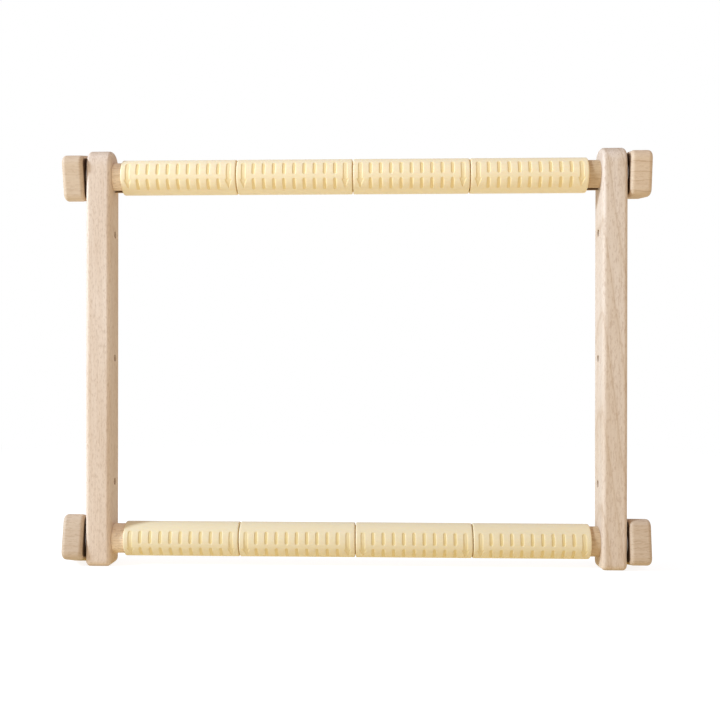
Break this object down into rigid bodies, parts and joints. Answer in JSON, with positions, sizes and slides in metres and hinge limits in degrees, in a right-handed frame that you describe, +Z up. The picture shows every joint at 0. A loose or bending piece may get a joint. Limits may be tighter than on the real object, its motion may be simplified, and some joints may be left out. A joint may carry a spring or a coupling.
{
  "type": "embroidery scroll frame",
  "caption": "Rectangular wooden embroidery frame: side bars, slotted rollers, plastic cloth clips and square wooden knobs on threaded bolts.",
  "frame": {"origin": "middle of the frame on the surface that the side bars stand on, below the roller axes", "axes": "+X along the rollers to the right as the stitcher sees it, +Y from the working side to the back, +Z up along the side bars"},
  "size_m": [0.4882, 0.0426, 0.35],
  "materials": {
    "bar_wood": "fine sanded beech, no varnish",
    "roller_wood": "turned beech dowel, no varnish",
    "knob_wood": "fine sanded beech, no varnish",
    "clip_plastic": "satin moulded plastic, cream",
    "bolt_steel": "zinc-plated thread",
    "washer_steel": "zinc plated",
    "insert_steel": "zinc plated"
  },
  "bodies": {
    "side_bars": {"left_side_bar": "bar_wood", "right_side_bar": "bar_wood"},
    "top_roller_set": {"top_roller": "roller_wood", "top_left_bolt": "bolt_steel", "top_right_bolt": "bolt_steel"},
    "top_clip_1_body": {"top_clip_1": "clip_plastic"},
    "top_clip_2_body": {"top_clip_2": "clip_plastic"},
    "top_clip_3_body": {"top_clip_3": "clip_plastic"},
    "top_clip_4_body": {"top_clip_4": "clip_plastic"},
    "top_left_washer_body": {"top_left_washer": "washer_steel"},
    "top_left_knob_body": {"top_left_knob": "knob_wood", "top_left_insert_nut": "insert_steel"},
    "top_right_washer_body": {"top_right_washer": "washer_steel"},
    "top_right_knob_body": {"top_right_knob": "knob_wood", "top_right_insert_nut": "insert_steel"},
    "bottom_roller_set": {"bottom_roller": "roller_wood", "bottom_left_bolt": "bolt_steel", "bottom_right_bolt": "bolt_steel"},
    "bottom_clip_1_body": {"bottom_clip_1": "clip_plastic"},
    "bottom_clip_2_body": {"bottom_clip_2": "clip_plastic"},
    "bottom_clip_3_body": {"bottom_clip_3": "clip_plastic"},
    "bottom_clip_4_body": {"bottom_clip_4": "clip_plastic"},
    "bottom_left_washer_body": {"bottom_left_washer": "washer_steel"},
    "bottom_left_knob_body": {"bottom_left_knob": "knob_wood", "bottom_left_insert_nut": "insert_steel"},
    "bottom_right_washer_body": {"bottom_right_washer": "washer_steel"},
    "bottom_right_knob_body": {"bottom_right_knob": "knob_wood", "bottom_right_insert_nut": "insert_steel"}
  },
  "joints": [
    {"name": "top_roller_turn", "type": "hinge", "parent": "side_bars", "child": "top_roller_set", "pos_m": [0, 0, 0.3283], "axis": [1, 0, 0], "continuous": true},
    {"name": "top_clip_1_turn", "type": "hinge", "parent": "top_roller_set", "child": "top_clip_1_body", "pos_m": [0, 0, 0.3283], "axis": [1, 0, 0], "continuous": true},
    {"name": "top_clip_2_turn", "type": "hinge", "parent": "top_roller_set", "child": "top_clip_2_body", "pos_m": [0, 0, 0.3283], "axis": [1, 0, 0], "continuous": true},
    {"name": "top_clip_3_turn", "type": "hinge", "parent": "top_roller_set", "child": "top_clip_3_body", "pos_m": [0, 0, 0.3283], "axis": [1, 0, 0], "continuous": true},
    {"name": "top_clip_4_turn", "type": "hinge", "parent": "top_roller_set", "child": "top_clip_4_body", "pos_m": [0, 0, 0.3283], "axis": [1, 0, 0], "continuous": true},
    {"name": "top_left_washer_travel", "type": "slide", "parent": "top_roller_set", "child": "top_left_washer_body", "axis": [-1, 0, 0], "range_m": [-0.0006, 0.0061]},
    {"name": "top_left_knob_turn", "type": "hinge", "parent": "top_left_washer_body", "child": "top_left_knob_body", "pos_m": [-0.2261, 0, 0.3283], "axis": [-1, 0, 0], "range_deg": [-180, 2160]},
    {"name": "top_right_washer_travel", "type": "slide", "parent": "top_roller_set", "child": "top_right_washer_body", "axis": [1, 0, 0], "range_m": [-0.0006, 0.0061]},
    {"name": "top_right_knob_turn", "type": "hinge", "parent": "top_right_washer_body", "child": "top_right_knob_body", "pos_m": [0.2261, 0, 0.3283], "axis": [1, 0, 0], "range_deg": [-180, 2160]},
    {"name": "bottom_roller_turn", "type": "hinge", "parent": "side_bars", "child": "bottom_roller_set", "pos_m": [0, 0, 0.0217], "axis": [1, 0, 0], "continuous": true},
    {"name": "bottom_clip_1_turn", "type": "hinge", "parent": "bottom_roller_set", "child": "bottom_clip_1_body", "pos_m": [0, 0, 0.0217], "axis": [1, 0, 0], "continuous": true},
    {"name": "bottom_clip_2_turn", "type": "hinge", "parent": "bottom_roller_set", "child": "bottom_clip_2_body", "pos_m": [0, 0, 0.0217], "axis": [1, 0, 0], "continuous": true},
    {"name": "bottom_clip_3_turn", "type": "hinge", "parent": "bottom_roller_set", "child": "bottom_clip_3_body", "pos_m": [0, 0, 0.0217], "axis": [1, 0, 0], "continuous": true},
    {"name": "bottom_clip_4_turn", "type": "hinge", "parent": "bottom_roller_set", "child": "bottom_clip_4_body", "pos_m": [0, 0, 0.0217], "axis": [1, 0, 0], "continuous": true},
    {"name": "bottom_left_washer_travel", "type": "slide", "parent": "bottom_roller_set", "child": "bottom_left_washer_body", "axis": [-1, 0, 0], "range_m": [-0.0006, 0.0061]},
    {"name": "bottom_left_knob_turn", "type": "hinge", "parent": "bottom_left_washer_body", "child": "bottom_left_knob_body", "pos_m": [-0.2261, 0, 0.0217], "axis": [-1, 0, 0], "range_deg": [-180, 2160]},
    {"name": "bottom_right_washer_travel", "type": "slide", "parent": "bottom_roller_set", "child": "bottom_right_washer_body", "axis": [1, 0, 0], "range_m": [-0.0006, 0.0061]},
    {"name": "bottom_right_knob_turn", "type": "hinge", "parent": "bottom_right_washer_body", "child": "bottom_right_knob_body", "pos_m": [0.2261, 0, 0.0217], "axis": [1, 0, 0], "range_deg": [-180, 2160]}
  ],
  "couplings": [
    {"joint": "top_left_washer_travel", "follows": "top_left_knob_turn", "m_per_rad": 0.00015915},
    {"joint": "top_right_washer_travel", "follows": "top_right_knob_turn", "m_per_rad": 0.00015915},
    {"joint": "bottom_left_washer_travel", "follows": "bottom_left_knob_turn", "m_per_rad": 0.00015915},
    {"joint": "bottom_right_washer_travel", "follows": "bottom_right_knob_turn", "m_per_rad": 0.00015915}
  ]
}
